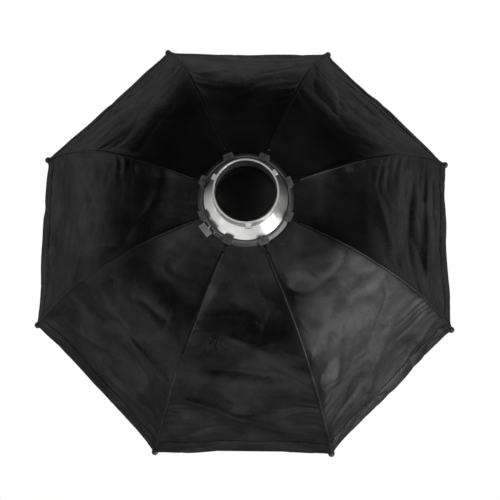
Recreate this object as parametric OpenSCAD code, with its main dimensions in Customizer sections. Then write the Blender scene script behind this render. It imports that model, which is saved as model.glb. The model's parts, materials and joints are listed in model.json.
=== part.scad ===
// Folding octagonal softbox (octabox) for a studio light.
//
// The shade lies face down: the front rim is at z = 0, the optical axis is +Z and the mount that
// takes the light is at the top. Eight sprung ribs are hinged to a speed ring and carry eight
// fabric panels; rib 1 stands at 22.5 degrees from +X and the others follow every 45 degrees.
// The ribs fold down and in, together, like those of an umbrella. Lengths are in millimetres.

/* [Shade] */
// Radius from the optical axis to a corner of the fabric at the front rim
rim_r = 450; // [320:10:600]
// Gap between the front rim of the fabric and the diffuser below it
rim_gap = 0.4; // [0.3:0.1:2]
// Thickness of the fabric solids
fabric_t = 1.2; // [0.8:0.1:2]
// Gap between a rib and the fabric that lies on it
fabric_gap = 0.8; // [0.4:0.1:3]
// Gap between two neighbouring panels along a rib
seam_gap = 1; // [0.6:0.1:4]
// How far the middle of a panel is pulled in between its two ribs
panel_sag = 9; // [0:0.5:20]
// Distance along a rib from its hinge to the start of the fabric
fabric_start = 9; // [8:0.5:16]

/* [Ribs] */
// Distance from the speed ring's wall out to a rib hinge
hinge_out = 9.5; // [8.5:0.5:20]
// Height of the rib hinges above the front rim
hinge_z = 360; // [300:5:420]
// Radius of a rib
rod_r = 2.5; // [1.5:0.1:3]
// Slope of a rib at its root, in degrees below horizontal
root_slope = 3; // [1:1:12]
// Slope of a rib at its tip, in degrees below horizontal
tip_slope = 62; // [50:1:84]
// Length of the straight root of a rib
root_len = 32; // [28:1:40]
// Pull of the root slope on the bow of a rib
root_pull = 150; // [80:5:180]
// Pull of the tip slope on the bow of a rib
tip_pull = 175; // [80:5:200]
// Radius of the round cap on a rib tip
tip_r = 6.5; // [5:0.5:9]
// How far the cap stands out past the end of the rib
tip_out = 2.5; // [0:0.5:4]
// Height of the end of the rib above the middle of its cap
tip_rise = 1; // [0:0.2:2]

/* [Rib hinges] */
// Radius of a hinge pin
pin_r = 1.6; // [1.2:0.1:2]
// Radial play between a hinge pin and the rib socket
pin_play = 0.06; // [0.02:0.01:0.1]
// Radius of the barrel of a rib socket
barrel_r = 4.5; // [3.5:0.1:5]
// Width of the barrel of a rib socket
barrel_w = 9; // [6:0.5:10]
// Outer radius of the sleeve that holds the rib
sleeve_r = 4; // [3.6:0.1:4.4]
// Reach of the sleeve from the hinge pin
sleeve_len = 27; // [20:1:27]
// Side play between the socket and each cheek of its bracket
cheek_play = 0.4; // [0.3:0.1:0.6]
// Thickness of each cheek of a bracket
cheek_t = 3; // [2:0.5:4]
// Radius of a cheek around the hinge pin
cheek_r = 4.2; // [3.6:0.1:4.4]
// Thickness of the bracket's pad on the speed ring
pad_t = 3; // [2:0.5:5]
// Distance from the recess of the speed ring out to a bracket's pad
pad_inset = 1; // [0.6:0.1:2]
// Thickness of the bracket's web on the side of the speed ring
web_t = 2.6; // [2:0.1:3.2]

/* [Speed ring] */
// Wall of the speed ring round the recess for the mount insert
ring_wall = 7.9; // [7.5:0.1:12]
// Height of the top face of the speed ring above the rib hinges
ring_rise = 19; // [18:0.5:24]
// Height of the speed ring
ring_h = 27; // [24:1:30]
// Radius of the bore that the mount insert turns in
ring_bore_r = 60.4; // [58:0.2:66]
// Width of the ledge that the flange of the insert sits over
recess_ledge = 6.2; // [5:0.1:9]
// Depth of that recess
recess_depth = 4; // [3:0.5:6]
// Size of the slope on the outer edge of the speed ring, between the brackets
ring_slope = 5; // [1:0.5:6]
// Width of the fabric skirt over the hinges
skirt_w = 15.5; // [8:0.5:16]

/* [Mount insert] */
// Outer radius of the throat that the light locks onto
throat_r = 49.5; // [44:0.5:52]
// Wall of the throat
throat_wall = 3; // [2:0.5:4]
// Height of the straight throat
throat_h = 25; // [16:1:32]
// Height of the cone between the flange and the throat
cone_h = 22; // [14:1:30]
// Height of the foot of the cone above the speed ring
cone_step = 1; // [0:0.5:3]
// Width of the gap round the flange of the insert
flange_gap = 1.6; // [0.6:0.1:2.5]
// Play between the insert and the speed ring
turn_play = 0.4; // [0.3:0.05:0.8]
// Wall of the neck that turns in the speed ring
neck_wall = 8; // [7:0.5:10]
// Width of a bayonet lug
lug_w = 9; // [5:0.5:14]
// How far a bayonet lug stands out of the throat
lug_out = 6; // [3:0.5:8]
// Thickness of a bayonet lug
lug_t = 6; // [4:0.5:8]
// Distance from the rim of the throat down to a lug
lug_drop = 5; // [3:0.5:7]
// Thickness of the retaining ring under the speed ring
keeper_t = 3; // [2:0.5:5]
// How far the retaining ring reaches out under the speed ring
keeper_lip = 6.6; // [3:0.2:9]

/* [Lock button] */
// Direction of the lock button seen from the optical axis
button_az = 219; // [217:1:233]
// Height of the speed ring's top above the foot of the button
button_drop = 7; // [4:0.5:8]
// Width of the button
button_w = 21; // [14:1:22]
// Height of the button
button_h = 9; // [7:0.5:12]
// Length of the button along its travel
button_l = 10; // [6:0.5:12]
// Travel of the button
button_travel = 3; // [2:0.5:3]
// Number of grip grooves in the button
button_grooves = 3; // [0:1:4]
// Width of a grip groove
groove_w = 1.2; // [0.4:0.1:1.4]
// Depth of a grip groove
groove_depth = 2; // [0.5:0.1:3]
// Radius of the stem of the button
stem_r = 2; // [1.5:0.1:2]
// Depth of the bore for the stem and its spring
spring_space = 3; // [2:0.1:3.2]

/* [Front diffuser] */
// Distance from the corner of the rim in to the corner of the diffuser
diffuser_inset = 3; // [1:0.5:10]
// Thickness of the diffuser cloth
diffuser_t = 1; // [0.8:0.1:2]
// Width of the border sewn round the diffuser
border_w = 25; // [10:1:40]
// Thickness of that border
border_t = 1; // [0.8:0.1:2]

/* [Screws] */
// Radius of a screw shank
screw_r = 1.45; // [1:0.05:1.7]
// Radius of a screw head
screw_head_r = 2.7; // [2.4:0.1:3]
// Height of a screw head
screw_head_h = 1.6; // [1:0.1:2.5]
// Depth of a screw in its thread
screw_depth = 7; // [4:0.5:10]

/* [Hidden] */
$fn = 96;
RIBS = 8;
STEP = 360 / RIBS;
FIRST_AZ = STEP / 2;
FIT = 0.05;                             // play of a screw, or of a rib in its sleeve
CLEAR = 0.4;                            // gap kept between pieces that do not touch
LUG_AZ = [35, 155, 275];
KEEPER_SCREWS = 6;
ROD_SIDES = 10;
ROD_RINGS = 22;
PANEL_COLS = 8;

ring_top = hinge_z + ring_rise;
recess_r = ring_bore_r + recess_ledge;
ring_r = recess_r + ring_wall;
flange_r = recess_r - flange_gap;
keeper_r = ring_bore_r + keeper_lip;
hinge_r = ring_r + hinge_out;
diffuser_r = rim_r - diffuser_inset;
rim_z = diffuser_t + border_t + rim_gap;
cap_z = rim_z + tip_r;
rod_end = [rim_r - rod_r - fabric_gap - fabric_t / 2, cap_z + tip_rise];
ring_bottom = ring_top - ring_h;
seat_z = ring_top - recess_depth;       // floor of the recess in the speed ring
flange_z = seat_z + turn_play;          // underside of the flange
cone_z = ring_top + cone_step;          // foot of the cone
throat_z = cone_z + cone_h;
insert_top = throat_z + throat_h;
neck_r = ring_bore_r - turn_play;
neck_bottom = ring_bottom - turn_play;
throat_bore_r = throat_r - throat_wall;
keeper_screw_r = neck_r - neck_wall / 2;
cheek_in = barrel_w / 2 + cheek_play;
bracket_w = 2 * (cheek_in + cheek_t);
web_r = ring_r + web_t;                 // outer face of a bracket's web
pad_in_r = recess_r + pad_inset;
bracket_screw_r = (pad_in_r + ring_r) / 2;
skirt_z = hinge_z + sleeve_r + fabric_t + 2 * CLEAR;     // underside of the skirt, over the panels
button_r = ring_r - 0.5;                // inner face of the button at rest
button_z = ring_top - button_drop;
pocket_r = button_r - button_travel - CLEAR;
stem_z = button_z + button_h / 2 - 0.5;
spring_r = stem_r + 0.7;
spring_wire = 0.35;
spring_play = 0.2;
spring_in_r = pocket_r - spring_space;
stem_len = button_r - button_travel - spring_in_r - CLEAR;

// Direction of rib i, counted from 1
function rib_az(i) = FIRST_AZ + (i - 1) * STEP;

// The line of a rib in its own plane, as [r, z]: a straight root, then one cubic curve
function down(slope) = [cos(slope), -sin(slope)];
function on_root(s) = [hinge_r, hinge_z] + s * down(root_slope);
function bow(t) =
    let (a = on_root(root_len), d = rod_end,
         b = a + root_pull * down(root_slope), c = d - tip_pull * down(tip_slope))
    pow(1 - t, 3) * a + 3 * pow(1 - t, 2) * t * b + 3 * (1 - t) * pow(t, 2) * c + pow(t, 3) * d;
function unit(v) = v / norm(v);
function out_of(v) = [-v[1], v[0]];     // turns a direction along the rib into its outward normal
function bow_out(t) = out_of(unit(bow(t + 0.001) - bow(t - 0.001)));
// Stations [point, outward normal] from a start on the root to the tip
function stations(start, rings) = concat(
    [[on_root(start), out_of(down(root_slope))]],
    [for (k = [0 : rings]) [bow(k / rings), bow_out(k / rings)]]);

// Two triangles between four points
function quad(a, b, c, d) = [[a, b, c], [a, c, d]];

module tube_along(path, r, sides) {
    n = len(path);
    pts = [for (s = path) for (k = [0 : sides - 1])
        let (a = 360 * k / sides, p = s[0] + r * cos(a) * s[1]) [p[0], r * sin(a), p[1]]];
    walls = [for (i = [0 : n - 2]) for (k = [0 : sides - 1])
        let (j = (k + 1) % sides)
        each quad(i * sides + k, i * sides + j, (i + 1) * sides + j, (i + 1) * sides + k)];
    first = [[for (k = [sides - 1 : -1 : 0]) k]];
    last = [[for (k = [0 : sides - 1]) (n - 1) * sides + k]];
    polyhedron(pts, concat(walls, first, last));
}

// One fabric panel: straight across from rib to rib, with a pull inwards in its middle
module panel_skin() {
    rib_line = stations(fabric_start, ROD_RINGS);
    n = len(rib_line) + 1;
    path = concat(rib_line, [rib_line[n - 2]]);         // the last row hangs from the tip to the rim
    m = PANEL_COLS;
    half = STEP / 2;
    // The fabric is lifted over the sleeves of the sockets, then lies on the ribs
    function lift(i) = i < 2 ? sleeve_r + CLEAR : rod_r + fabric_gap;
    function sag(i, u) = panel_sag * (1 - u * u) * sin(180 * i / (n - 1));
    function at(i, u, off) =
        let (p = path[i][0] + (lift(i) + off - sag(i, u)) * path[i][1],
             z = i == n - 1 ? rim_z : p[1],
             q = path[i][0] + (lift(i) + off) * path[i][1],
             side = q[0] * sin(half) - seam_gap / 2)
        [p[0] * cos(half), u * side, z];
    pts = [for (off = [fabric_t, 0]) for (i = [0 : n - 1]) for (k = [0 : m])
        at(i, 2 * k / m - 1, off)];
    w = m + 1;
    in0 = n * w;
    faces = concat(
        [for (i = [0 : n - 2]) for (k = [0 : m - 1])
            each quad(i * w + k, (i + 1) * w + k, (i + 1) * w + k + 1, i * w + k + 1)],
        [for (i = [0 : n - 2]) for (k = [0 : m - 1])
            each quad(in0 + i * w + k, in0 + i * w + k + 1, in0 + (i + 1) * w + k + 1,
                      in0 + (i + 1) * w + k)],
        [for (k = [0 : m - 1]) each quad(k, k + 1, in0 + k + 1, in0 + k)],
        [for (k = [0 : m - 1]) let (a = (n - 1) * w + k)
            each quad(a + 1, a, in0 + a, in0 + a + 1)],
        [for (i = [0 : n - 2]) let (a = i * w) each quad(a, in0 + a, in0 + a + w, a + w)],
        [for (i = [0 : n - 2]) let (a = i * w + m) each quad(a, a + w, in0 + a + w, in0 + a)]);
    polyhedron(pts, faces);
}

// Lays a shape along +Z onto the rib's line at the hinge
module at_hinge() {
    translate([hinge_r, 0, hinge_z])
        rotate([0, 90 + root_slope, 0])
            children();
}

module across(r, w) {
    rotate([90, 0, 0])
        cylinder(r = r, h = w, center = true);
}

// The round cap on the end of a rib
module tip_cap(grow = 0) {
    translate([rod_end[0] + tip_out, 0, cap_z])
        sphere(r = tip_r + grow, $fn = 40);
}

module rib_tip(i) {
    color("dimgray")
        rotate([0, 0, rib_az(i)])
            difference() {
                tip_cap();
                rod_space();
            }
}

// The room that a rib takes up, with its fit
module rod_space() {
    tube_along(stations(root_len / 2, ROD_RINGS), rod_r + FIT, ROD_SIDES);
}

module rib_rod(i) {
    color("silver")
        rotate([0, 0, rib_az(i)])
            tube_along(stations(barrel_r + 3, ROD_RINGS), rod_r, ROD_SIDES);
}

module rib_socket(i) {
    color("gray")
        rotate([0, 0, rib_az(i)])
            difference() {
                union() {
                    translate([hinge_r, 0, hinge_z])
                        across(barrel_r, barrel_w);
                    at_hinge()
                        cylinder(r = sleeve_r, h = sleeve_len);
                }
                translate([hinge_r, 0, hinge_z])
                    across(pin_r + pin_play, 2 * barrel_w);
                at_hinge()
                    translate([0, 0, barrel_r + 2.5])
                        cylinder(r = rod_r + FIT, h = sleeve_len);
            }
}

module rib_bracket(i) {
    color("darkgray")
        rotate([0, 0, rib_az(i)])
            difference() {
                union() {
                    translate([pad_in_r, -bracket_w / 2, ring_top])
                        cube([web_r - pad_in_r, bracket_w, pad_t]);
                    difference() {
                        translate([ring_r - 2, -bracket_w / 2, hinge_z - cheek_r])
                            cube([web_r - ring_r + 2, bracket_w, ring_top - hinge_z + cheek_r]);
                        translate([0, 0, ring_bottom - 1])
                            cylinder(r = ring_r, h = ring_h + 1);
                    }
                    for (side = [-1, 1])
                        translate([0, side * (cheek_in + cheek_t / 2), 0]) {
                            translate([hinge_r, 0, hinge_z])
                                across(cheek_r, cheek_t);
                            translate([web_r, -cheek_t / 2, hinge_z - cheek_r])
                                cube([hinge_r - web_r, cheek_t, 2 * cheek_r]);
                        }
                }
                translate([hinge_r, 0, hinge_z])
                    across(pin_r + FIT / 2, 2 * bracket_w);
                translate([bracket_screw_r, 0, ring_top - 1])
                    cylinder(r = screw_r + FIT, h = pad_t + 2);
            }
}

module hinge_pins() {
    color("lightgray")
        for (i = [1 : RIBS])
            rotate([0, 0, rib_az(i)])
                translate([hinge_r, 0, hinge_z])
                    across(pin_r, bracket_w);
}

module bracket_screws() {
    color("silver")
        for (i = [1 : RIBS])
            rotate([0, 0, rib_az(i)])
                translate([bracket_screw_r, 0, ring_top + pad_t]) {
                    cylinder(r = screw_head_r, h = screw_head_h);
                    translate([0, 0, -pad_t - screw_depth])
                        cylinder(r = screw_r, h = pad_t + screw_depth + 0.5);
                }
}

// What the slope on the ring's outer edge takes away, with the seats of the brackets and the button left
module ring_edge() {
    difference() {
        rotate_extrude()
            polygon([
                [ring_r - ring_slope - 1, ring_top + 1], [ring_r + 1, ring_top - ring_slope - 1],
                [ring_r + 1, ring_top + 1]]);
        for (i = [1 : RIBS])
            rotate([0, 0, rib_az(i)])
                translate([0, -bracket_w / 2 - 1, ring_top - ring_h])
                    cube([ring_r + 2, bracket_w + 2, 2 * ring_h]);
        rotate([0, 0, button_az])
            translate([0, -button_w / 2 - 3, ring_top - ring_h])
                cube([ring_r + 2, button_w + 6, 2 * ring_h]);
    }
}

module speed_ring() {
    color("gray")
        difference() {
            translate([0, 0, ring_bottom])
                cylinder(r = ring_r, h = ring_h);
            translate([0, 0, ring_bottom - 1])
                cylinder(r = ring_bore_r, h = ring_h + 2);
            translate([0, 0, seat_z])
                cylinder(r = recess_r, h = recess_depth + 1);
            ring_edge();
            for (i = [1 : RIBS])
                rotate([0, 0, rib_az(i)])
                    translate([bracket_screw_r, 0, ring_top - screw_depth - 1])
                        cylinder(r = screw_r + FIT, h = screw_depth + 2);
            rotate([0, 0, button_az]) {
                translate([pocket_r, -button_w / 2 - CLEAR, button_z - CLEAR])
                    cube([ring_r, button_w + 2 * CLEAR, button_h + ring_h]);
                translate([spring_in_r, 0, stem_z])
                    rotate([0, 90, 0])
                        cylinder(r = spring_r + spring_wire + 0.3, h = ring_r - spring_in_r);
            }
        }
}

module mount_insert() {
    color("silver")
        difference() {
            union() {
                rotate_extrude()
                    polygon([
                        [neck_r - neck_wall, neck_bottom], [neck_r, neck_bottom],
                        [neck_r, flange_z], [flange_r, flange_z], [flange_r, cone_z],
                        [throat_r, throat_z], [throat_r, insert_top],
                        [throat_bore_r, insert_top], [throat_bore_r, throat_z - throat_wall],
                        [neck_r - neck_wall, cone_z]]);
                for (a = LUG_AZ)
                    rotate([0, 0, a])
                        intersection() {
                            translate([throat_r - 1, -lug_w / 2, insert_top - lug_drop - lug_t])
                                cube([lug_out + 1, lug_w, lug_t]);
                            cylinder(r = throat_r + lug_out, h = insert_top);
                        }
            }
            for (k = [0 : KEEPER_SCREWS - 1])
                rotate([0, 0, k * 360 / KEEPER_SCREWS])
                    translate([keeper_screw_r, 0, neck_bottom - 1])
                        cylinder(r = screw_r + FIT, h = screw_depth + 2);
        }
}

module retaining_ring() {
    color("dimgray")
        difference() {
            translate([0, 0, neck_bottom - keeper_t])
                cylinder(r = keeper_r, h = keeper_t);
            translate([0, 0, neck_bottom - keeper_t - 1])
                cylinder(r = neck_r - neck_wall, h = keeper_t + 2);
            for (k = [0 : KEEPER_SCREWS - 1])
                rotate([0, 0, k * 360 / KEEPER_SCREWS])
                    translate([keeper_screw_r, 0, neck_bottom - keeper_t - 1])
                        cylinder(r = screw_r + FIT, h = keeper_t + 2);
        }
}

module retaining_screws() {
    color("silver")
        for (k = [0 : KEEPER_SCREWS - 1])
            rotate([0, 0, k * 360 / KEEPER_SCREWS])
                translate([keeper_screw_r, 0, neck_bottom - keeper_t - screw_head_h]) {
                    cylinder(r = screw_head_r, h = screw_head_h);
                    cylinder(r = screw_r, h = screw_head_h + keeper_t + screw_depth);
                }
}

// A fabric skirt round the speed ring, notched for the brackets, over the edges of the panels
module neck_skirt() {
    color([0.12, 0.12, 0.13])
        difference() {
            translate([0, 0, skirt_z])
                cylinder(r = ring_r + skirt_w, h = fabric_t);
            translate([0, 0, skirt_z - 1])
                cylinder(r = ring_r + CLEAR / 2, h = fabric_t + 2);
            for (i = [1 : RIBS])
                rotate([0, 0, rib_az(i)])
                    translate([0, -bracket_w / 2 - CLEAR, hinge_z])
                        cube([web_r + CLEAR, bracket_w + 2 * CLEAR, ring_h]);
        }
}

module lock_button() {
    pitch = button_l / (button_grooves + 1);
    color("dimgray")
        rotate([0, 0, button_az]) {
            difference() {
                translate([button_r, -button_w / 2, button_z])
                    cube([button_l, button_w, button_h]);
                for (k = [1 : 1 : button_grooves])
                    translate([button_r + k * pitch - groove_w / 2, -button_w / 2 - 1,
                               button_z + button_h - groove_depth])
                        cube([groove_w, button_w + 2, groove_depth + 1]);
            }
            translate([button_r - stem_len, 0, stem_z])
                rotate([0, 90, 0])
                    cylinder(r = stem_r, h = stem_len + 1);
        }
}

// A coil spring round the stem of the lock button
module lock_spring() {
    turns = 4;
    per_turn = 14;
    sides = 6;
    n = turns * per_turn;
    pitch = (button_r - spring_in_r - 2 * (spring_wire + spring_play)) / turns;
    pts = [for (i = [0 : n]) for (k = [0 : sides - 1])
        let (a = 360 * i / per_turn, b = 360 * k / sides, r = spring_r + spring_wire * cos(b))
        [spring_wire * sin(b) + pitch * i / per_turn, r * cos(a), r * sin(a)]];
    walls = [for (i = [0 : n - 1]) for (k = [0 : sides - 1])
        let (j = (k + 1) % sides)
        each quad(i * sides + k, (i + 1) * sides + k, (i + 1) * sides + j, i * sides + j)];
    ends = [[for (k = [0 : sides - 1]) k], [for (k = [sides - 1 : -1 : 0]) n * sides + k]];
    color("silver")
        rotate([0, 0, button_az])
            translate([spring_in_r + spring_wire + spring_play, 0, stem_z])
                polyhedron(pts, concat(walls, ends));
}

module panel(i) {
    color([0.1, 0.1, 0.11])
        difference() {
            rotate([0, 0, rib_az(i) + STEP / 2])
                panel_skin();
            for (k = [0, 1])
                rotate([0, 0, rib_az(i) + k * STEP])
                    tip_cap(CLEAR);
        }
}

module octagon(r) {
    rotate(FIRST_AZ)
        circle(r = r, $fn = RIBS);
}

module diffuser_cloth() {
    color("white")
        linear_extrude(diffuser_t)
            octagon(diffuser_r);
}

module diffuser_border() {
    color("black")
        translate([0, 0, diffuser_t])
            linear_extrude(border_t)
                difference() {
                    octagon(diffuser_r);
                    octagon(diffuser_r - border_w / cos(STEP / 2));
                }
}

mount_insert();
retaining_ring();
retaining_screws();
speed_ring();
bracket_screws();
hinge_pins();
neck_skirt();
lock_button();
lock_spring();
rib_bracket(1);  // rib_bracket_1
rib_bracket(2);  // rib_bracket_2
rib_bracket(3);  // rib_bracket_3
rib_bracket(4);  // rib_bracket_4
rib_bracket(5);  // rib_bracket_5
rib_bracket(6);  // rib_bracket_6
rib_bracket(7);  // rib_bracket_7
rib_bracket(8);  // rib_bracket_8
rib_socket(1);  // rib_socket_1
rib_socket(2);  // rib_socket_2
rib_socket(3);  // rib_socket_3
rib_socket(4);  // rib_socket_4
rib_socket(5);  // rib_socket_5
rib_socket(6);  // rib_socket_6
rib_socket(7);  // rib_socket_7
rib_socket(8);  // rib_socket_8
rib_rod(1);  // rib_rod_1
rib_rod(2);  // rib_rod_2
rib_rod(3);  // rib_rod_3
rib_rod(4);  // rib_rod_4
rib_rod(5);  // rib_rod_5
rib_rod(6);  // rib_rod_6
rib_rod(7);  // rib_rod_7
rib_rod(8);  // rib_rod_8
rib_tip(1);  // rib_tip_1
rib_tip(2);  // rib_tip_2
rib_tip(3);  // rib_tip_3
rib_tip(4);  // rib_tip_4
rib_tip(5);  // rib_tip_5
rib_tip(6);  // rib_tip_6
rib_tip(7);  // rib_tip_7
rib_tip(8);  // rib_tip_8
panel(1);  // panel_1
panel(2);  // panel_2
panel(3);  // panel_3
panel(4);  // panel_4
panel(5);  // panel_5
panel(6);  // panel_6
panel(7);  // panel_7
panel(8);  // panel_8
diffuser_cloth();
diffuser_border();
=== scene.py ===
"""A folding octagonal softbox for a studio light, lying face down on a pale floor.

The CAD frame holds the mount, the speed ring, the ribs and their hinges. This script gives them their
finishes and makes the cloth: eight creased panels of coated nylon with a silver inside, their seams,
hems and stitches, the gusset at the neck and the white front diffuser.
"""
import json
import math

import bpy
import numpy as np
from mathutils import Matrix, Vector

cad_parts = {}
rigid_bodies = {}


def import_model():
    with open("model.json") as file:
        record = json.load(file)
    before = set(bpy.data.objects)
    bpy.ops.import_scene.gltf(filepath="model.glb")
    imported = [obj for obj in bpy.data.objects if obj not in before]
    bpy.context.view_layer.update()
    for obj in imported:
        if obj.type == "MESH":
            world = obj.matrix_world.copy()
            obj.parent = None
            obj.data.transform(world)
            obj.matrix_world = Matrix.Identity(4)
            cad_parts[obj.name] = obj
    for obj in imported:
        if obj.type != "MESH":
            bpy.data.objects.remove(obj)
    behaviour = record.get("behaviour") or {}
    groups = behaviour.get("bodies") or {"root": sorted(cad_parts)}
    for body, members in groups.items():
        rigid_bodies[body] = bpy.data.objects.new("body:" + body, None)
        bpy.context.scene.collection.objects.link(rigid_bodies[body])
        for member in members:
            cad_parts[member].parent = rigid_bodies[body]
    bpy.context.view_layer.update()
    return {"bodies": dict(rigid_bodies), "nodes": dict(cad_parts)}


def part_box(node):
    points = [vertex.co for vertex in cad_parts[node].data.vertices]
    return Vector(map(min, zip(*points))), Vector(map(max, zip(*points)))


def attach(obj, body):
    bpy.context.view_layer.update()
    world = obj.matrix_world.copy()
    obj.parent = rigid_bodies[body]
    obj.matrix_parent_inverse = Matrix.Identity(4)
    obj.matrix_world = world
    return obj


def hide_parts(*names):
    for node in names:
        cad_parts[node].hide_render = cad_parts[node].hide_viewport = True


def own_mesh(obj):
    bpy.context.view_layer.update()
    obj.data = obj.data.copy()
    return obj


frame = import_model()

# ---------------------------------------------------------------- sizes, in metres
RIBS = 8
STEP = math.radians(360 / RIBS)
HALF = STEP / 2
MM = 0.001

_, ring_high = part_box("speed_ring")
_, insert_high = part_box("mount_insert")
skirt_low, skirt_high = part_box("neck_skirt")
cloth_low, cloth_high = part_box("diffuser_cloth")
border_low, border_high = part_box("diffuser_border")

# a rib: its points are [distance from the axis, height], its slopes are below level
HINGE = np.array([84, 360]) * MM
ROD_END = np.array([446.1, 9.9]) * MM
ROOT_SLOPE = math.radians(3)
TIP_SLOPE = math.radians(62)
ROOT_LEN = 32 * MM                      # the straight root of a rib
ROOT_PULL = 150 * MM                    # pull of either slope on the bow of a rib
TIP_PULL = 175 * MM

# the cloth of a panel
CLOTH_T = 0.7 * MM
CLOTH_OUT = 0.5 * MM                    # the cloth's middle above the inside of its CAD solid
SLEEVE_LIFT = 4.4 * MM                  # height of the cloth's inside over a rib's line, on the sleeve
ROD_LIFT = 3.3 * MM                     # and further out, on the bare rib
SOCKET_END = 12 * MM                    # where the cloth's line starts to follow the rib, past the hinge
SEAM_GAP = 1.0 * MM                     # between two panels
SAG = 9 * MM                            # of the middle of a panel between its ribs
SAG_START = 20 * MM                     # how far from the neck the sag begins
HEM = 52 * MM                           # from the rim up to the hem's stitches
HEM_OVER = 3 * MM                       # the hem's second layer goes this far over its stitches
HEM_LIFT = 0.75 * MM                    # and lies this far above the cloth
HEM_T = 0.6 * MM
HEM_SHARE = 0.997                       # its width, as a share of the cloth's
STITCH_ROW = 5 * MM                     # between the hem's two rows of stitches
STITCH_MARGIN = 12 * MM                 # free of stitches at either end of a row
STITCH_PITCH = 4 * MM
STITCH_LEN = 3.1 * MM
STITCH_HALF = 0.3 * MM                  # half the width of a stitch
RIM_Z = border_high.z + 0.4 * MM        # the rim rests on the diffuser's border
RIM_LIFT = 1.2 * MM                     # the cloth's edge above that
BINDING_LIFT = 1.3 * MM                 # the middle of the binding above it
BINDING_R = 1.25 * MM
BINDING_SHARE = 0.985                   # its length, as a share of the panel's width
SEAM_START = 13 * MM                    # the ends of a seam, from the neck and from the rim
SEAM_END = 4 * MM
SEAM_LIFT = 0.45 * MM                   # the foot of a seam above the cloth
SEAM_T = 0.5 * MM
GRID = 4.5 * MM                         # mesh of a panel

# the neck, where the panels meet the speed ring
NECK_R = ring_high.x + 0.9 * MM         # the panels' inner edge
NECK_Z = skirt_high.z + 3.2 * MM
NECK_BLEND = (92 * MM, 130 * MM)        # between these radii the cloth comes down onto the ribs
NECK_DROP = 2 * MM                      # inside them it is drawn towards this far under the neck's height
NECK_PULL = 0.7                         # by this share of the way
BRACKET_R = 77.9 * MM                   # the panels are notched round the brackets inside this
BRACKET_HALF = 9.4 * MM
GUSSET_T = 0.6 * MM
GUSSET_GATHERS = 48
GUSSET_WAVE = 0.35 * MM                 # height of its gathers
THROAT_SHADE_R = 53 * MM                  # painted shade: the wall of the mount's throat is made black inside this radius and this far under its rim, for the shade deep in the throat
THROAT_SHADE_DROP = 30 * MM               # and this far under its rim

# the front diffuser
DIFFUSER_T = 0.5 * MM
DIFFUSER_BELLY = 6 * MM                 # the middle of the cloth above its edge
DIFFUSER_WAVE = 1.3 * MM                # heights of its soft waves, its creases and its gathers at the edge
DIFFUSER_CREASE = 0.7 * MM
DIFFUSER_GATHER = 0.25 * MM
DIFFUSER_INSET = 0.4 * MM               # its corners inside the border's
BORDER_W = 25 * MM
BORDER_T = 0.6 * MM
BORDER_LIFT = 0.1 * MM                  # its middle above that of its CAD solid
BORDER_RIPPLE = 0.12 * MM


# ---------------------------------------------------------------- helpers
def smooth(x, low, high):
    """0 below low, 1 above high, and a smooth step between."""
    t = np.clip((x - low) / (high - low), 0, 1)
    return t * t * (3 - 2 * t)


def value_noise(x, y, seed):
    """Smooth noise from -1 to 1 with one feature per unit of x and y."""
    size = 64                           # the noise repeats after so many features
    table = np.random.default_rng(seed).uniform(-1, 1, (size, size))
    xi, yi = np.floor(x).astype(int), np.floor(y).astype(int)
    fx, fy = smooth(x - xi, 0, 1), smooth(y - yi, 0, 1)
    x0, x1, y0, y1 = xi % size, (xi + 1) % size, yi % size, (yi + 1) % size
    a = table[y0, x0] * (1 - fx) + table[y0, x1] * fx
    b = table[y1, x0] * (1 - fx) + table[y1, x1] * fx
    return a * (1 - fy) + b * fy


def line_noise(x, size, seed, row=0):
    """Smooth noise from -1 to 1 along a line, with features of that size."""
    return value_noise(x / size, x * 0 + row, seed)


def creases(x, y, seed):
    """Noise with sharp valleys between rounded cushions, as crumpled cloth has, from -1 to 0."""
    warp = value_noise(x * 0.7, y * 0.7, seed + 1) * 0.8
    return -np.power(1 - np.abs(value_noise(x + warp, y - warp, seed)), 4)


def mesh_object(name, points, faces, material, smooth_shade=True):
    mesh = bpy.data.meshes.new(name)
    mesh.from_pydata([tuple(p) for p in points], [], faces)
    mesh.validate()
    mesh.materials.append(material)
    obj = bpy.data.objects.new(name, mesh)
    bpy.context.scene.collection.objects.link(obj)
    if smooth_shade:
        mesh.shade_smooth()
    return obj


def grid_faces(rows, cols, closed=False, start=0):
    """Faces between rows of points. A closed grid joins the end of each row to its beginning."""
    faces = []
    for i in range(rows - 1):
        for k in range(cols if closed else cols - 1):
            j = (k + 1) % cols
            faces.append((start + i * cols + k, start + (i + 1) * cols + k,
                          start + (i + 1) * cols + j, start + i * cols + j))
    return faces


def thicken(obj, thickness, inner=None):
    """Gives an open sheet its two faces. The inner face can take a material of its own."""
    solid = obj.modifiers.new("solid", "SOLIDIFY")
    solid.thickness = thickness
    solid.offset = 0
    solid.use_even_offset = False
    if inner:
        obj.data.materials.append(inner)
        solid.material_offset = 1
    depsgraph = bpy.context.evaluated_depsgraph_get()
    mesh = bpy.data.meshes.new_from_object(obj.evaluated_get(depsgraph))
    obj.modifiers.clear()
    obj.data = mesh


def turn(points, angle):
    """Turns points about the optical axis."""
    c, s = math.cos(angle), math.sin(angle)
    p = np.asarray(points, float)
    return np.stack([p[..., 0] * c - p[..., 1] * s, p[..., 0] * s + p[..., 1] * c, p[..., 2]], -1)


def round_angles(count):
    """Angles of so many points round a circle."""
    return np.linspace(0, 2 * math.pi, count, endpoint=False)


def polar_points(radius, angle, height):
    """A list of points from grids of their radii, angles and heights."""
    return np.stack([radius * np.cos(angle), radius * np.sin(angle), height], -1).reshape(-1, 3)


def rib_angle(i):
    return HALF + (i - 1) * STEP


# ---------------------------------------------------------------- the line of a rib
def down(slope):
    """Outward direction at a slope below level, as [radius, height]."""
    return np.array([math.cos(slope), -math.sin(slope)])


def unit_steps(points):
    """Direction of a line at each of its points."""
    along = np.gradient(points, axis=0)
    return along / np.linalg.norm(along, axis=1)[:, None]


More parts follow.
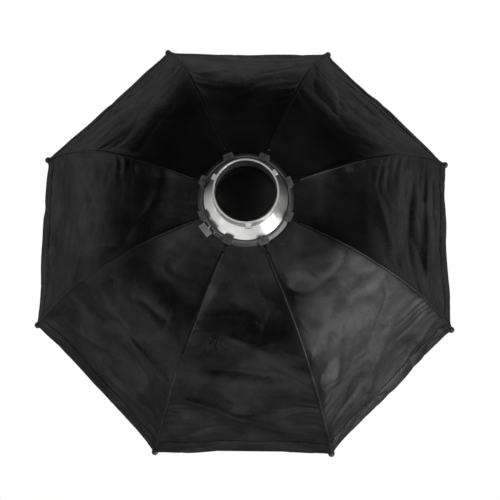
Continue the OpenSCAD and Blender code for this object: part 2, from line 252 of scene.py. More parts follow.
def outward_of(line):
    """Outward normals of a line of [radius, height] points."""
    along = unit_steps(line)
    return np.stack([-along[:, 1], along[:, 0]], 1)


def run_along(line):
    """Distance of each point of a line from its start."""
    return np.concatenate([[0], np.cumsum(np.linalg.norm(np.diff(line, axis=0), axis=1))])


def rib_curve():
    """Dense points of a rib's line as [radius, height], from its straight root to its tip."""
    root = HINGE + ROOT_LEN * down(ROOT_SLOPE)
    b = root + ROOT_PULL * down(ROOT_SLOPE)
    c = ROD_END - TIP_PULL * down(TIP_SLOPE)
    t = np.linspace(0, 1, 400)[:, None]
    bow = (1 - t) ** 3 * root + 3 * (1 - t) ** 2 * t * b + 3 * (1 - t) * t ** 2 * c + t ** 3 * ROD_END
    straight = HINGE + np.linspace(SOCKET_END, ROOT_LEN, 20)[:-1, None] * down(ROOT_SLOPE)
    return np.concatenate([straight, bow])


def cloth_line():
    """The cloth's own line in the plane of a rib, from the neck over the socket and along the rib."""
    rib = rib_curve()
    lift = SLEEVE_LIFT + (ROD_LIFT - SLEEVE_LIFT) * smooth(run_along(rib), ROOT_LEN, 2 * ROOT_LEN)
    line = rib + (lift + CLOTH_OUT)[:, None] * outward_of(rib)
    over = smooth(line[:, 0], *NECK_BLEND)
    line[:, 1] += (1 - over) * (NECK_Z - NECK_DROP - line[:, 1]) * NECK_PULL
    neck = np.stack([np.linspace(NECK_R, line[0, 0], 12)[:-1],
                     np.linspace(NECK_Z, line[0, 1], 12)[:-1]], 1)
    last = np.array([[line[-1, 0], RIM_Z + RIM_LIFT]])
    return np.concatenate([neck, line[line[:, 1] > last[0, 1] + 1 * MM], last])


LINE = cloth_line()
LINE_OUT = outward_of(LINE)
LINE_RUN = run_along(LINE)
LENGTH = LINE_RUN[-1]


def line_at(s):
    """Radius, height and outward normal of the cloth's line at a distance s from the neck."""
    point, out = (np.stack([np.interp(s, LINE_RUN, values[:, k]) for k in (0, 1)], -1)
                  for values in (LINE, LINE_OUT))
    return point, out / np.linalg.norm(out, axis=-1)[..., None]


def half_width(s):
    """Half the width of a panel at a distance s from the neck."""
    return line_at(s)[0][..., 0] * math.sin(HALF)


RIM_HALF = half_width(LENGTH)


# ---------------------------------------------------------------- the shape of a panel
def seam_tug(distance, s, seed, strength):
    """Puckers that a sewn seam over a rib draws into the cloth beside it, in a few places along it."""
    pitch, reach, start = 31 * MM, 26 * MM, 6 * MM      # of the puckers along the seam and away from it
    phase = s / pitch + 1.6 * line_noise(s, 80 * MM, seed)
    where = smooth(line_noise(s, 75 * MM, seed + 2, row=3), -0.1, 0.8)
    fade = np.exp(-distance / reach) * (1 - np.exp(-distance / start))
    return strength * np.sin(2 * math.pi * phase) * where * fade


def corner_folds(x, y, seed):
    """Long folds that fan out of a tight corner of the rim. x runs along the rim and y up the panel."""
    fan, reach = 9, 110 * MM            # how close the folds lie in the fan, and how far they run
    angle = np.arctan2(y, x + 5 * MM)
    dist = np.hypot(x, y)
    wave = np.sin(angle * fan + 2.5 * value_noise(angle * 2, dist / (90 * MM), seed))
    return wave * smooth(dist, 12 * MM, 70 * MM) * np.exp(-dist / reach)


def long_fold(y, s, fold):
    """A long soft ridge, or a valley if its height is below 0, between two points of a panel.

    A fold is (across, along, across, along, width, height): positions in shares of the panel's half
    width and length, the last two in millimetres. The ridge fades towards both ends.
    """
    u0, v0, u1, v1, width, height = fold
    start, end = np.array([u0 * RIM_HALF, v0 * LENGTH]), np.array([u1 * RIM_HALF, v1 * LENGTH])
    run = end - start
    size = np.hypot(*run)
    run /= size
    t = ((y - start[0]) * run[0] + (s - start[1]) * run[1]) / size
    off = (y - start[0]) * run[1] - (s - start[1]) * run[0]
    bend = 7 * MM * np.sin(3 * t + u0 * 9)
    width = width * MM * (0.7 + 0.6 * np.clip(t, 0, 1))
    profile = np.exp(-np.abs((off + bend) / width) ** 1.6)
    return height * MM * profile * smooth(t, -0.05, 0.25) * (1 - smooth(t, 0.75, 1.1))


# How each panel hangs: how strong its sag, its crumple, its seam puckers and corner folds (at its first and
# its second rib) are, and its long folds, as long_fold takes them. Across is -1 at the first rib and 1 at
# the second.
PANEL_LOOK = {
    1: dict(sag=0.9, crumple=0.8, tug=(0.8, 0.5), corner=(0.7, 0.6), folds=(
        (-0.6, 0.83, 0.75, 0.74, 10, 2.6),
        (-0.2, 0.68, 0.6, 0.62, 14, 2.2),
        (-0.4, 0.93, 0.4, 0.9, 7, -1.6))),
    2: dict(sag=1.0, crumple=0.7, tug=(0.4, 0.5), corner=(0.5, 0.4), folds=(
        (-0.75, 0.80, 0.8, 0.77, 13, 3.4),
        (-0.5, 0.64, 0.35, 0.68, 12, -1.8),
        (0.1, 0.5, 0.5, 0.4, 10, 1.4))),
    3: dict(sag=0.9, crumple=0.8, tug=(0.5, 0.8), corner=(0.5, 0.8), folds=(
        (-0.35, 0.86, 0.8, 0.62, 11, 3.0),
        (-0.2, 0.66, 0.5, 0.48, 12, 2.2),
        (0.2, 0.92, 0.85, 0.8, 8, -1.8))),
    4: dict(sag=1.0, crumple=1.2, tug=(0.9, 0.8), corner=(0.6, 0.9), folds=(
        (-0.42, 0.18, -0.25, 0.42, 16, 3.0),
        (-0.1, 0.55, 0.55, 0.62, 18, 2.2),
        (0.1, 0.88, 0.85, 0.72, 14, 2.8),
        (-0.6, 0.72, 0.2, 0.8, 9, -1.6))),
    5: dict(sag=1.0, crumple=1.1, tug=(0.8, 0.7), corner=(0.9, 1.0), folds=(
        (-0.3, 0.45, 0.3, 0.56, 15, 2.2),
        (-0.7, 0.78, 0.2, 0.62, 12, 2.4),
        (0.0, 0.85, 0.8, 0.75, 13, 2.2),
        (-0.1, 0.35, 0.25, 0.3, 9, -1.6))),
    6: dict(sag=1.0, crumple=0.9, tug=(0.7, 0.7), corner=(0.9, 0.8), folds=(
        (-0.75, 0.56, 0.75, 0.84, 13, 4.6),
        (-0.45, 0.42, 0.4, 0.5, 17, -3.8),
        (-0.2, 0.3, 0.3, 0.36, 10, 1.5),
        (0.3, 0.72, 0.9, 0.62, 10, 1.6))),
    7: dict(sag=1.0, crumple=0.9, tug=(0.4, 1.0), corner=(0.7, 0.9), folds=(
        (-0.5, 0.9, 0.45, 0.55, 16, 1.6),
        (-0.1, 0.5, 0.5, 0.62, 18, -1.5),
        (0.2, 0.88, 0.85, 0.8, 10, 1.8),
        (-0.6, 0.62, -0.1, 0.4, 14, 1.4))),
    8: dict(sag=1.2, crumple=0.9, tug=(1.6, 0.8), corner=(0.9, 0.7), folds=(
        (0.85, 0.74, -0.75, 0.66, 12, 4.4),
        (0.8, 0.82, -0.45, 0.82, 9, 3.2),
        (0.7, 0.6, -0.7, 0.54, 16, -4.0),
        (0.75, 0.91, -0.1, 0.93, 7, 2.0),
        (0.2, 0.33, -0.4, 0.4, 14, 1.8))),
}

# Layers of crumple: the noise, its height, the size of its features across and along (in millimetres), its
# shift and what it adds to the panel's seed
CRUMPLE = (
    (value_noise, 2.0, 58, 66, 5, 5),
    (creases, 2.6, 95, 80, 3, 10),
    (creases, 0.9, 42, 55, 0, 20),
    (creases, 0.2, 17, 19, 0, 30),
)
BROAD_WAVE = 3.4 * MM                   # heights of the wide waves, seam puckers and corner folds
TUG = 2.4 * MM
CORNER_FOLD = 1.8 * MM
LONG_FOLDS = 1.3                        # the long folds are this much higher than their numbers say
RIB_DROP = 1.6 * MM                     # how far the cloth drops off a rib
HEM_PINCH = 1.5 * MM                    # depth of the dent along the hem's stitches
HEM_PUCKER = 0.35 * MM                  # height of the small puckers along it


def relief(i, y, s, side):
    """Height of the cloth of panel i over its plain curved form, at y across and s along."""
    look = PANEL_LOOK[i]
    seed = 100 * i
    ribs = np.maximum(y + side, 0), np.maximum(side - y, 0)     # distances from the first and the second
    edge = np.minimum(*ribs)
    from_rim = LENGTH - s
    body = smooth(s, 30 * MM, 110 * MM)         # the cloth is even near the neck
    calm = smooth(edge, 0, 18 * MM)             # and along the ribs
    h = BROAD_WAVE * value_noise(y / (110 * MM) + 7, s / (135 * MM), seed) * smooth(edge, 0, 60 * MM) * body
    h += look["crumple"] * calm * body * sum(
        height * MM * noise(y / (across * MM) + shift, s / (length * MM), seed + k)
        for noise, height, across, length, shift, k in CRUMPLE)
    for share, from_rib, k in zip(look["tug"], ribs, (40, 50)):
        h += seam_tug(from_rib, s, seed + k, share * TUG) * body
    for share, from_rib, k in zip(look["corner"], ribs, (60, 70)):
        h += share * CORNER_FOLD * corner_folds(from_rib, from_rim, seed + k) * calm
    for fold in look["folds"]:
        h += LONG_FOLDS * long_fold(y, s, fold) * calm
    # the cloth drops off the rib, and the hem is pulled in along its line of stitches
    h -= RIB_DROP * (1 - np.exp(-edge / (9 * MM)))
    h -= HEM_PINCH * np.exp(-((from_rim - HEM) / (3.5 * MM)) ** 2) * smooth(edge, 0, 20 * MM)
    pucker = np.sin(2 * math.pi * y / (13 * MM) + 3 * line_noise(y, 30 * MM, seed + 80))
    near_hem = np.exp(-((from_rim - HEM) / (10 * MM)) ** 2)
    h += HEM_PUCKER * pucker * near_hem * smooth(edge, 5 * MM, 25 * MM)
    return h * smooth(s, 4 * MM, 50 * MM)


def panel_surface(i, s, u, lift=0.0):
    """Points of panel i with its middle turned to +X. s runs from the neck and u from -1 to 1 across."""
    point, out = line_at(s)
    side = point[..., 0] * math.sin(HALF) - SEAM_GAP / 2
    notch = 1 - smooth(point[..., 0], BRACKET_R, BRACKET_R + 1.5 * MM)
    y = u * (side - BRACKET_HALF * notch)
    arc = np.sin(math.pi * np.clip((s - SAG_START) / (LENGTH - SAG_START), 0, 1))
    flat = 1 - np.clip(np.abs(y) / side, 0, 1) ** 2.4
    h = lift + relief(i, y, s, side) - SAG * PANEL_LOOK[i]["sag"] * arc * flat
    radius = (point[..., 0] + h * out[..., 0]) * math.cos(HALF)
    return np.stack([radius, y, point[..., 1] + h * out[..., 1]], -1)


def panel_piece(name, i, s, u, material, lift=0.0, thickness=CLOTH_T, inner=None):
    """A piece of cloth that follows panel i, with its rows at s and its columns at u."""
    S, U = np.meshgrid(s, u, indexing="ij")
    points = turn(panel_surface(i, S, U, lift), rib_angle(i) + HALF).reshape(-1, 3)
    obj = mesh_object(name, points, grid_faces(len(s), len(u)), material)
    thicken(obj, thickness, inner)
    return obj


def tube(name, path, radius, material, sides=8):
    """A round cord of cloth along a path of points, closed at its ends."""
    along = unit_steps(path)
    side = np.cross(along, [0, 0, 1.0])
    side /= np.linalg.norm(side, axis=1)[:, None]
    up = np.cross(side, along)
    lines = [path + radius * (math.cos(a) * side + math.sin(a) * up) for a in round_angles(sides)]
    points = np.stack(lines, 1).reshape(-1, 3)
    faces = grid_faces(len(path), sides, closed=True)
    faces += [tuple(range(sides - 1, -1, -1)), tuple(range((len(path) - 1) * sides, len(path) * sides))]
    return mesh_object(name, points, faces, material)


# ---------------------------------------------------------------- materials
def new_material(name):
    material = bpy.data.materials.new(name)
    material.use_nodes = True
    nodes, links = material.node_tree.nodes, material.node_tree.links
    return material, nodes, links, nodes["Principled BSDF"]


def add(nodes, kind, **values):
    """A new node. Each value is for the input of that name, or for a setting of the node."""
    node = nodes.new(kind)
    for key, value in values.items():
        if key in node.inputs:
            node.inputs[key].default_value = value
        else:
            setattr(node, key, value)
    return node


def math_node(nodes, links, operation, *values):
    """A Math node's output. Its values are numbers or other nodes' outputs."""
    node = add(nodes, "ShaderNodeMath", operation=operation)
    for socket, value in zip(node.inputs, values):
        if isinstance(value, (int, float)):
            socket.default_value = value
        else:
            links.new(value, socket)
    return node.outputs[0]


def square_sum(nodes, links, a, b):
    return math_node(nodes, links, "ADD", math_node(nodes, links, "MULTIPLY", a, a),
                     math_node(nodes, links, "MULTIPLY", b, b))


def noise_map(nodes, links, scale, detail=4, rough=0.55, distortion=0.0):
    """A noise texture with scale features in a metre. Most of its values lie between 0.35 and 0.65."""
    place = add(nodes, "ShaderNodeTexCoord")
    noise = add(nodes, "ShaderNodeTexNoise", Scale=scale, Detail=detail, Roughness=rough,
                Distortion=distortion)
    links.new(place.outputs["Object"], noise.inputs["Vector"])
    return noise.outputs["Fac"]


def ramp(nodes, links, source, stops):
    """A colour ramp of two stops, each a place and a colour."""
    node = add(nodes, "ShaderNodeValToRGB")
    for element, (place, value) in zip(node.color_ramp.elements, stops):
        element.position = place
        element.color = (*value[:3], 1)
    links.new(source, node.inputs["Fac"])
    return node.outputs["Color"]


def bump_chain(nodes, links, shader, layers):
    """Bumps on a shader. A layer is (height output, strength, distance in metres), the coarsest first."""
    last = None
    for height, strength, distance in layers:
        node = add(nodes, "ShaderNodeBump", Strength=strength, Distance=distance)
        links.new(height, node.inputs["Height"])
        if last:
            links.new(last, node.inputs["Normal"])
        last = node.outputs["Normal"]
    links.new(last, shader.inputs["Normal"])


def grey(v):
    return (v, v, v, 1)


WAVE_PITCH = 0.314                      # a wave texture's bands are this far apart at a scale of 1


def weave(nodes, links, pitch):
    """Crossed threads, pitch apart, as a height."""
    place = add(nodes, "ShaderNodeTexCoord")
    threads = []
    for axis in "XYZ":
        wave = add(nodes, "ShaderNodeTexWave", bands_direction=axis, Scale=WAVE_PITCH / pitch,
                   Distortion=0.4)
        links.new(place.outputs["Object"], wave.inputs["Vector"])
        threads.append(wave.outputs["Fac"])
    crossed = math_node(nodes, links, "ADD", threads[0], threads[1])
    return math_node(nodes, links, "ADD", crossed, threads[2])


def cloth_material(name, dark, light, rough, thread, crinkle, sheen=0.0, spec=(0.5, 0.5), metallic=0.0):
    """Woven cloth. Its tone, gloss and roughness drift in soft patches, as a worn coating does."""
    material, nodes, links, shader = new_material(name)
    broad = noise_map(nodes, links, 8, 3, 0.5, distortion=0.3)
    links.new(ramp(nodes, links, broad, [(0.35, dark), (0.66, light)]), shader.inputs["Base Color"])
    coat = noise_map(nodes, links, 12, 3, 0.55, distortion=0.5)
    links.new(ramp(nodes, links, coat, [(0.38, grey(spec[0])), (0.64, grey(spec[1]))]),
              shader.inputs["Specular IOR Level"])
    fine = noise_map(nodes, links, 24, 4, 0.55)
    links.new(ramp(nodes, links, fine, [(0.35, grey(rough[0])), (0.65, grey(rough[1]))]),
              shader.inputs["Roughness"])
    shader.inputs["Metallic"].default_value = metallic
    shader.inputs["Sheen Weight"].default_value = sheen
    shader.inputs["Sheen Roughness"].default_value = 0.4
    bump_chain(nodes, links, shader, [
        (noise_map(nodes, links, 26, 3, 0.5), crinkle, 0.004),
        (noise_map(nodes, links, 75, 5, 0.6), crinkle * 0.8, 0.0012),
        (weave(nodes, links, thread), 0.25, 0.0001)])
    return material


def rounded(nodes, links, radius):
    """Softens sharp edges in the shading, under the bumps."""
    bevel = add(nodes, "ShaderNodeBevel", Radius=radius, samples=6)
    for node in nodes:
        if node.type == "BUMP" and not node.inputs["Normal"].is_linked:
            links.new(bevel.outputs["Normal"], node.inputs["Normal"])


def metal_material(name, dark, light, rough, grain=0.12, metallic=1.0, edge=0.8 * MM):
    """Cast, painted or bright metal, whose edges look rounded to a radius of edge."""
    material, nodes, links, shader = new_material(name)
    stain = noise_map(nodes, links, 40, 6, 0.6)
    links.new(ramp(nodes, links, stain, [(0.35, dark), (0.7, light)]), shader.inputs["Base Color"])
    wear = noise_map(nodes, links, 110, 4)
    links.new(ramp(nodes, links, wear, [(0.3, grey(rough[0])), (0.7, grey(rough[1]))]),
              shader.inputs["Roughness"])
    shader.inputs["Metallic"].default_value = metallic
    bump_chain(nodes, links, shader, [
        (noise_map(nodes, links, 160, 3), grain * 0.6, 0.0006),
        (noise_map(nodes, links, 1500, 2), grain, 0.0001)])
    rounded(nodes, links, edge)
    return material


def paint_throat_shade(material, radius, height):
    """Painted shade: darkens what lies inside a radius and under a height, for the shade deep in the neck.
    """
    nodes, links = material.node_tree.nodes, material.node_tree.links
    shader = nodes["Principled BSDF"]
    place = add(nodes, "ShaderNodeTexCoord")
    split = add(nodes, "ShaderNodeSeparateXYZ")
    links.new(place.outputs["Object"], split.inputs["Vector"])
    x, y, z = (split.outputs[k] for k in "XYZ")
    inside = math_node(nodes, links, "LESS_THAN", square_sum(nodes, links, x, y), radius ** 2)
    low = math_node(nodes, links, "LESS_THAN", z, height)
    shade_mask = math_node(nodes, links, "MULTIPLY", inside, low)
    # a Mix node's kind, and where the inputs A and B and the output of that kind are
    colour, number = ("RGBA", 6, 7, 2), ("FLOAT", 2, 3, 0)
    # the painted shade: a near-black, dull colour in place of the metal down in the throat
    painted_shade = (("Base Color", grey(0.012), colour), ("Metallic", 0.0, number), ("Roughness", 0.6, number))
    for name, value, (data_type, a, b, out) in painted_shade:
        socket = shader.inputs[name]
        mix = add(nodes, "ShaderNodeMix", data_type=data_type)
        if socket.is_linked:
            links.new(socket.links[0].from_socket, mix.inputs[a])
        else:
            mix.inputs[a].default_value = socket.default_value
        mix.inputs[b].default_value = value
        links.new(shade_mask, mix.inputs[0])
        links.new(mix.outputs[out], socket)


def plastic_material(name, dark, light, rough):
    """Moulded plastic with a fine grain."""
    material, nodes, links, shader = new_material(name)
    tone = noise_map(nodes, links, 60, 4)
    links.new(ramp(nodes, links, tone, [(0.3, dark), (0.7, light)]), shader.inputs["Base Color"])
    wear = noise_map(nodes, links, 220, 4)
    links.new(ramp(nodes, links, wear, [(0.3, grey(rough[0])), (0.7, grey(rough[1]))]),
              shader.inputs["Roughness"])
    bump_chain(nodes, links, shader, [(noise_map(nodes, links, 1200, 2), 0.15, 0.0002)])
    return material


# Each takes its darkest and its lightest colour and the range of its roughness. Then a cloth takes the pitch
# of its threads and the strength of its crinkles, and a metal the strength of its grain.
BLACK = cloth_material("coated_nylon", (0.0020, 0.0020, 0.0022), (0.0058, 0.0058, 0.0062),
                       (0.21, 0.37), 0.55 * MM, 0.3, spec=(0.09, 0.26))
SILVER_LINING = cloth_material("silver_lining", (0.40, 0.41, 0.42), (0.55, 0.56, 0.57),
                               (0.28, 0.42), 0.8 * MM, 0.35, metallic=0.75)
WEBBING = cloth_material("webbing", (0.006, 0.006, 0.0065), (0.011, 0.011, 0.012),
                         (0.55, 0.7), 1.1 * MM, 0.15, sheen=0.1)
THREAD = cloth_material("thread", (0.012, 0.012, 0.013), (0.022, 0.022, 0.024),
                        (0.4, 0.5), 0.3 * MM, 0.1)
WHITE = cloth_material("white_nylon", (0.80, 0.80, 0.79), (0.88, 0.88, 0.87),
                       (0.6, 0.75), 0.6 * MM, 0.25, sheen=0.1)
CAST_SILVER = metal_material("cast_silver", (0.80, 0.80, 0.78), (0.90, 0.90, 0.88), (0.28, 0.38))
# painted shade: the deep part of the throat's wall is made black
paint_throat_shade(CAST_SILVER, THROAT_SHADE_R, insert_high.z - THROAT_SHADE_DROP)
CAST_GREY = metal_material("cast_grey", (0.10, 0.10, 0.102), (0.17, 0.17, 0.173), (0.45, 0.6), 0.2,
                           edge=2.2 * MM)
BRACKET_GREY = metal_material("bracket_grey", (0.07, 0.07, 0.072), (0.13, 0.13, 0.132), (0.42, 0.6), 0.2,
                              edge=1.2 * MM)
DARK_PAINT = metal_material("dark_paint", (0.02, 0.02, 0.021), (0.035, 0.035, 0.037), (0.4, 0.55), 0.2,
                            metallic=0.0)
STEEL = metal_material("bright_steel", (0.60, 0.60, 0.60), (0.74, 0.74, 0.74), (0.2, 0.32), 0.06,
                       edge=0.3 * MM)
PLASTIC = plastic_material("grey_plastic", (0.03, 0.03, 0.031), (0.045, 0.045, 0.047), (0.42, 0.6))
BUTTON_GREY = metal_material("button_grey", (0.25, 0.25, 0.255), (0.36, 0.36, 0.37), (0.36, 0.5), 0.2,
                             edge=0.4 * MM)


def finish_node(node, material):
    obj = frame["nodes"][node]
    obj.data.materials.clear()
    obj.data.materials.append(material)


def finish_cad():
    """Gives the CAD parts that stay as they are their materials."""
    for node, material in (("mount_insert", CAST_SILVER), ("retaining_ring", DARK_PAINT),
                           ("retaining_screws", STEEL), ("speed_ring", CAST_GREY),
                           ("bracket_screws", DARK_PAINT), ("hinge_pins", STEEL),
                           ("lock_button", BUTTON_GREY)):
        finish_node(node, material)
    for i in range(1, RIBS + 1):
        finish_node(f"rib_bracket_{i}", BRACKET_GREY)
        finish_node(f"rib_socket_{i}", DARK_PAINT)
        finish_node(f"rib_rod_{i}", STEEL)
        finish_node(f"rib_tip_{i}", PLASTIC)


def fold_with(obj, i):
    """A piece of panel i goes with rib i, and moves with it as the ribs fold."""
    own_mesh(obj)
    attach(obj, f"rib_{i}")


def across_share(cols):
    """Shares across a panel, closer together near its ribs."""
    t = np.linspace(-1, 1, cols)
    return 0.75 * t + 0.25 * np.sin(t * math.pi / 2)


# a stitch, seen from its side: a share of its length and a height
STITCH = ((-0.5, -0.9), (-0.32, 0.5), (0, 0.9), (0.32, 0.5), (0.5, -0.9))


def stitches(name, i, rows):
    """Rows of thread along the hem: each stitch is a short bar that dips into the cloth at both ends."""
    points, faces = [], []
    half = half_width(LENGTH - HEM)
    count = int((2 * half - 2 * STITCH_MARGIN) / STITCH_PITCH)
    for from_rim in rows:
        for k in range(count):
            centre = (k - (count - 1) / 2) * STITCH_PITCH
            start = len(points)
            for share, height in STITCH:
                u = (centre + share * STITCH_LEN) / half
                # either side of the stitch, then its crest: how far over the cloth, and what height adds
                for side, lift, rise in ((-1, 1.05, 0.25), (1, 1.05, 0.25), (0, 1.25, 0.35)):
                    s = LENGTH - from_rim + side * STITCH_HALF
                    points.append(panel_surface(i, s, u, (lift + rise * height) * MM))
            for a in range(start, start + 3 * (len(STITCH) - 1), 3):
                b = a + 3
                faces += [(a, a + 2, b + 2, b), (a + 2, a + 1, b + 1, b + 2), (a + 1, a, b, b + 1)]
            faces += [(start, start + 1, start + 2), (b + 1, b, b + 2)]
    points = turn(np.array(points), rib_angle(i) + HALF)
    return mesh_object(name, points, faces, THREAD)


def make_panel(i):
    """Panel i between its two ribs: the cloth, its hem with its stitches, and the binding of the rim."""
    u = across_share(int(2 * RIM_HALF / GRID))
    s = np.linspace(0, LENGTH, int(LENGTH / GRID))
    cloth = panel_piece(f"panel_cloth_{i}", i, s, u, BLACK, inner=SILVER_LINING)
    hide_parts(f"panel_{i}")

    s = np.linspace(LENGTH - HEM - HEM_OVER, LENGTH, 16)
    hem = panel_piece(f"panel_hem_{i}", i, s, u * HEM_SHARE, BLACK, lift=HEM_LIFT, thickness=HEM_T)

    count = 60
    u = np.linspace(-BINDING_SHARE, BINDING_SHARE, count)
    edge = panel_surface(i, np.full(count, LENGTH - 0.2 * MM), u, 0.3 * MM)
    edge[:, 2] = RIM_Z + BINDING_LIFT + 0.25 * MM * np.sin(np.linspace(0, 40, count))
    binding = tube(f"rim_binding_{i}", turn(edge, rib_angle(i) + HALF), BINDING_R, WEBBING)

    thread = stitches(f"hem_thread_{i}", i, (HEM, HEM - STITCH_ROW))
    for piece in (cloth, hem, binding, thread):
        fold_with(piece, i)


# a seam over a rib, cut across: millimetres aside and a height
SEAM = ((-2.8, -0.9), (-2.4, 0.1), (-1.5, 0.75), (0, 1.0), (1.5, 0.75), (2.4, 0.1), (2.8, -0.9))


def make_seam(i):
    """The folded seam that runs over rib i, slightly drawn up between its stitches."""
    s = np.linspace(SEAM_START, LENGTH - SEAM_END, 180)
    point, out = line_at(s)
    wander = 0.5 * MM * line_noise(s, 40 * MM, 900 + i)
    rise = 0.35 * MM * line_noise(s, 14 * MM, 930 + i)
    rows = []
    for y, h in SEAM:
        lift = (h * MM + SEAM_LIFT + rise)[:, None]
        p = point + lift * out
        rows.append(np.stack([p[:, 0], y * MM + wander, p[:, 1]], -1))
    points = turn(np.stack(rows, 1).reshape(-1, 3), rib_angle(i))
    obj = mesh_object(f"rib_seam_{i}", points, grid_faces(len(s), len(SEAM)), BLACK)
    thicken(obj, SEAM_T)
    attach(obj, f"rib_{i}")


def make_spring():
    """The coil behind the lock button. It goes with the speed ring."""
    mesh = frame["nodes"]["lock_spring"].data.copy()
    mesh.materials.clear()
    mesh.materials.append(STEEL)
    coil = bpy.data.objects.new("lock_spring_coil", mesh)
    bpy.context.scene.collection.objects.link(coil)
    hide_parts("lock_spring")
    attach(coil, "speed_ring")
    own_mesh(coil)


def make_gusset():
    """The gathered cloth under the panels' inner edges, round the neck. It goes with the speed ring."""
    angles = round_angles(12 * GUSSET_GATHERS)
    radii = np.linspace(ring_high.x + 0.4 * MM, skirt_high.x - 0.5 * MM, 8)
    R, A = np.meshgrid(radii, angles, indexing="ij")
    gather = np.sin(A * GUSSET_GATHERS + 1.5 * value_noise(A * 5, R * 0, 77))
    far = (R - radii[0]) / (radii[-1] - radii[0])
    points = polar_points(R, A, (skirt_low.z + skirt_high.z) / 2 + GUSSET_WAVE * gather * far)

    # it leaves room for the brackets
    from_rib = A % STEP - HALF
    blocked = ((np.abs(R * np.sin(from_rib)) < BRACKET_HALF) & (R < BRACKET_R)).reshape(-1)
    faces = [f for f in grid_faces(len(radii), len(angles), closed=True) if not any(blocked[list(f)])]
    used = sorted({v for f in faces for v in f})
    index = {v: k for k, v in enumerate(used)}
    faces = [tuple(index[v] for v in f) for f in faces]
    obj = mesh_object("neck_gusset", points[used], faces, BLACK)
    thicken(obj, GUSSET_T)
    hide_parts("neck_skirt")
    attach(obj, "speed_ring")


def octagon_edge(angle, corner):
    """Distance from the centre to the edge of an octagon with that corner radius."""
    from_flat = (angle + HALF) % STEP - HALF
    return corner * math.cos(HALF) / np.cos(from_flat)


def make_diffuser():
    """The white front cloth with its soft belly, and the border of hook tape round its edge."""
    corner = cloth_high.x / math.cos(HALF)
    angles, shares = round_angles(240), np.linspace(0, 1, 60)[1:]
    A, Q = np.meshgrid(angles, shares)
    R = Q * octagon_edge(A, corner - DIFFUSER_INSET)
    x, y = R * np.cos(A), R * np.sin(A)
    broad, small = 130 * MM, 70 * MM    # the size of a wave and of a crease
    belly = DIFFUSER_BELLY * (1 - Q ** 2)
    waves = DIFFUSER_WAVE * value_noise(x / broad + 9, y / broad + 9, 501) * (1 - Q ** 4)
    crumple = DIFFUSER_CREASE * creases(x / small + 20, y / small + 20, 511) * (1 - Q ** 4)
    gathers = DIFFUSER_GATHER * np.sin(A * 96) * smooth(Q, 0.8, 0.95) * (1 - smooth(Q, 0.97, 1))
    z = (cloth_low.z + cloth_high.z) / 2 + np.maximum(belly + waves + crumple + gathers, -0.1 * MM)
    points = np.concatenate([[[0, 0, z[0].mean()]], polar_points(R, A, z)])
    around = len(angles)
    faces = grid_faces(len(shares), around, closed=True, start=1)
    faces += [(0, 1 + k, 1 + (k + 1) % around) for k in range(around)]
    cloth = mesh_object("front_diffuser_cloth", points, faces, WHITE)
    thicken(cloth, DIFFUSER_T)
    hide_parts("diffuser_cloth")

    angles, shares = round_angles(480), np.linspace(1 - BORDER_W / (corner * math.cos(HALF)), 0.999, 7)
    A, Q = np.meshgrid(angles, shares)
    z = (border_low.z + border_high.z) / 2 + BORDER_LIFT + BORDER_RIPPLE * np.sin(A * 160)
    points = polar_points(Q * octagon_edge(A, corner), A, z)
    border = mesh_object("diffuser_hook_border", points, grid_faces(len(shares), len(angles), closed=True),
                         WEBBING)
    thicken(border, BORDER_T)
    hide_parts("diffuser_border")
    for piece in (cloth, border):
        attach(piece, "diffuser")


# ---------------------------------------------------------------- floor, lights, camera
def make_floor():
    """A white floor that shows as a plain ground and takes no part in the light on the box."""
    material, _, _, shader = new_material("white_floor")
    shader.inputs["Base Color"].default_value = grey(0)
    shader.inputs["Specular IOR Level"].default_value = 0
    shader.inputs["Emission Color"].default_value = grey(1)
    shader.inputs["Emission Strength"].default_value = 1
    half, z = 6.0, -0.3 * MM
    floor = mesh_object("floor", [(-half, -half, z), (half, -half, z), (half, half, z), (-half, half, z)],
                        [(0, 1, 2, 3)], material, smooth_shade=False)
    floor.visible_diffuse = False
    floor.visible_glossy = False
    floor.visible_transmission = False
    floor.visible_shadow = False
    floor.parent = frame["bodies"]["diffuser"]


# The light round the box: direction (azimuth and elevation in degrees), half width across and up, strength
GLOWS = (
    (-39, 24, 14, 47, 6.6),             # a tall softbox that faces the front right panel
    (-16, 70, 36, 11, 3.2),             # its top edge, over the inner end of that panel
    (-112, -13, 58, 8, 1.7),            # a low white reflector in front, from the middle to the left
    (-150, 62, 40, 20, 2.3),            # a high weak lamp on the left
    (8, -24, 24, 8, 0.4),               # pale walls to the right and to the left
    (178, -15, 26, 11, 0.65),
    (60, 30, 16, 20, 0.15),             # a weak light from behind
    (0, -38, 400, 9, 0.22),             # the pale ground, all round
    (90, 80, 120, 13, 0.36),            # an overhead lamp
)
DOME = 0.05                             # strength of the dark dome between the glows


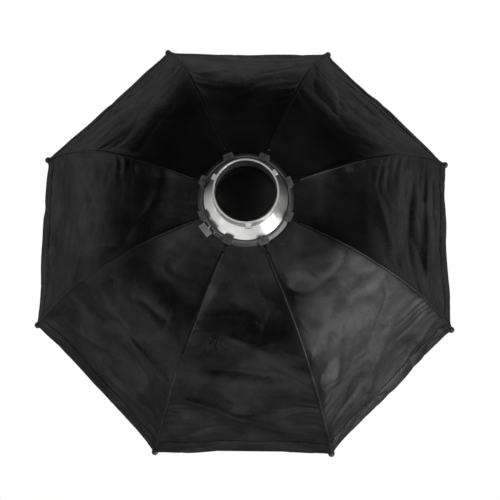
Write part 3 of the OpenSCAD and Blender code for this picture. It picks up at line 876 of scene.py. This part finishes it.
def make_lights():
    """The studio round the box, as soft glows on a dark dome. The camera sees plain white past the box."""
    world = bpy.data.worlds.new("studio")
    bpy.context.scene.world = world
    world.use_nodes = True
    nodes, links = world.node_tree.nodes, world.node_tree.links
    background = nodes["Background"]
    place = add(nodes, "ShaderNodeTexCoord")
    split = add(nodes, "ShaderNodeSeparateXYZ")
    links.new(place.outputs["Generated"], split.inputs["Vector"])
    x, y, z = (split.outputs[k] for k in "XYZ")
    azimuth = math_node(nodes, links, "ARCTAN2", y, x)
    elevation = math_node(nodes, links, "ARCSINE", z)
    total = None
    for az, el, wide, tall, strength in GLOWS:
        across = math_node(nodes, links, "SUBTRACT", azimuth, math.radians(az))
        across = math_node(nodes, links, "PINGPONG", across, math.pi)
        across = math_node(nodes, links, "DIVIDE", across, math.radians(wide))
        up = math_node(nodes, links, "SUBTRACT", elevation, math.radians(el))
        up = math_node(nodes, links, "DIVIDE", up, math.radians(tall))
        # strength * exp(-(across^2 + up^2)^2): even in the middle, with a soft edge
        square = square_sum(nodes, links, across, up)
        square = math_node(nodes, links, "MULTIPLY", square, square)
        glow = math_node(nodes, links, "EXPONENT", math_node(nodes, links, "MULTIPLY", square, -1))
        glow = math_node(nodes, links, "MULTIPLY", glow, strength)
        total = glow if total is None else math_node(nodes, links, "ADD", total, glow)
    total = math_node(nodes, links, "ADD", total, DOME)
    path = add(nodes, "ShaderNodeLightPath")
    total = math_node(nodes, links, "MAXIMUM", total, path.outputs["Is Camera Ray"])
    links.new(total, background.inputs["Strength"])
    background.inputs["Color"].default_value = grey(1)


def make_camera():
    """The view from above the mount, ten degrees off the optical axis, with a slight roll."""
    elevation, azimuth, roll = math.radians(79.78), math.radians(-1.22), math.radians(1.87)
    distance = 1.477
    target = Vector((0.0088, -0.0120, 0))
    back = Vector((math.sin(azimuth) * math.cos(elevation), -math.cos(azimuth) * math.cos(elevation),
                   math.sin(elevation)))
    right = (-back).cross(Vector((0, 0, 1))).normalized()
    up = right.cross(-back)
    right, up = (math.cos(roll) * right + math.sin(roll) * up, math.cos(roll) * up - math.sin(roll) * right)
    data = bpy.data.cameras.new("camera")
    data.lens = 51.68
    data.sensor_width = 36
    camera = bpy.data.objects.new("camera", data)
    bpy.context.scene.collection.objects.link(camera)
    turned = Matrix((right, up, back)).transposed().to_4x4()
    camera.matrix_world = Matrix.Translation(target + back * distance) @ turned
    bpy.context.scene.camera = camera


# ---------------------------------------------------------------- the scene
make_camera()
make_floor()
make_lights()
finish_cad()
for number in range(1, RIBS + 1):
    make_panel(number)
    make_seam(number)
make_gusset()
make_spring()
make_diffuser()
bpy.context.scene.view_settings.view_transform = "Standard"
